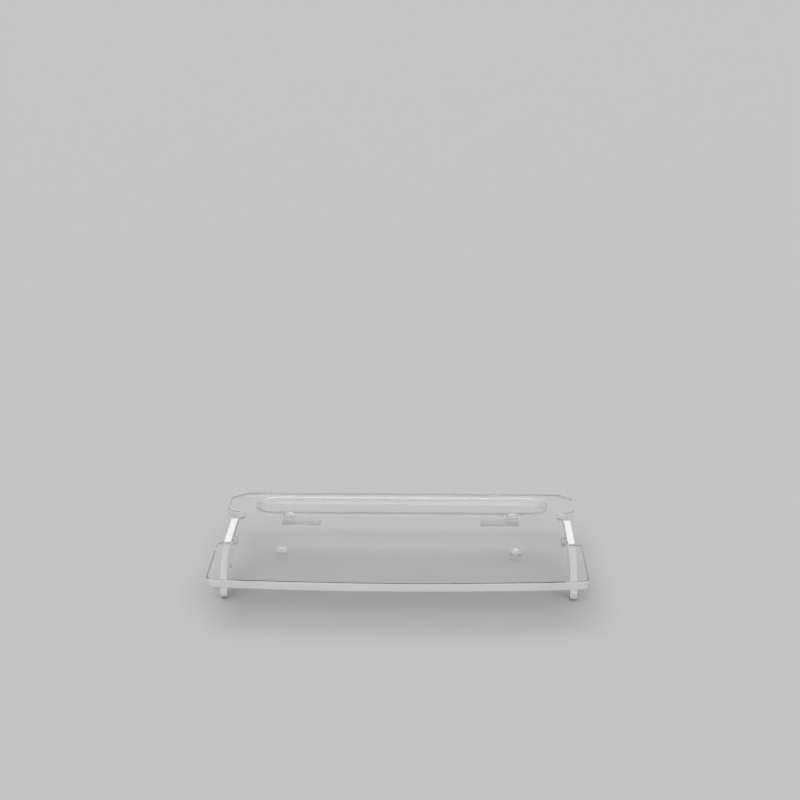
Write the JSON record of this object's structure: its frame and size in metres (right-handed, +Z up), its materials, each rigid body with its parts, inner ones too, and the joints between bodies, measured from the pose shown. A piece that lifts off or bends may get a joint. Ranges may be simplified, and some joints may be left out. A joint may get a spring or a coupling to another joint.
{
  "type": "bike desk tray",
  "caption": "Clear acrylic desk tray that lies on a bike's handlebars: a bowed panel with a rear slot, upright hook plates in its side notches, soft bumpers on top and pads below.",
  "frame": {"origin": "under the middle of the tray, level with the lowest point of the hooks", "axes": "+X to the rider's right, +Y away from the rider, +Z up out of the tray's top face"},
  "size_m": [0.4084, 0.315, 0.0538],
  "materials": {
    "panel_acrylic": "clear cast acrylic with polished edges",
    "hook_acrylic": "clear cast acrylic with polished edges",
    "liner_silicone": "clear silicone, satin",
    "pad_silicone": "clear silicone, satin",
    "bumper_silicone": "clear silicone, satin"
  },
  "bodies": {
    "tray": {"tray_panel": "panel_acrylic", "bumper_front_left": "bumper_silicone", "bumper_front_right": "bumper_silicone", "bumper_rear_left": "bumper_silicone", "bumper_rear_right": "bumper_silicone", "bar_pad_left": "pad_silicone", "bar_pad_right": "pad_silicone"},
    "left_hook": {"hook_left": "hook_acrylic", "saddle_liner_left": "liner_silicone"},
    "right_hook": {"hook_right": "hook_acrylic", "saddle_liner_right": "liner_silicone"}
  },
  "joints": [
    {"name": "left_hook_slide", "type": "slide", "parent": "tray", "child": "left_hook", "axis": [-1, 0, 0], "range_m": [0, 0.012]},
    {"name": "right_hook_slide", "type": "slide", "parent": "tray", "child": "right_hook", "axis": [1, 0, 0], "range_m": [0, 0.012]}
  ]
}
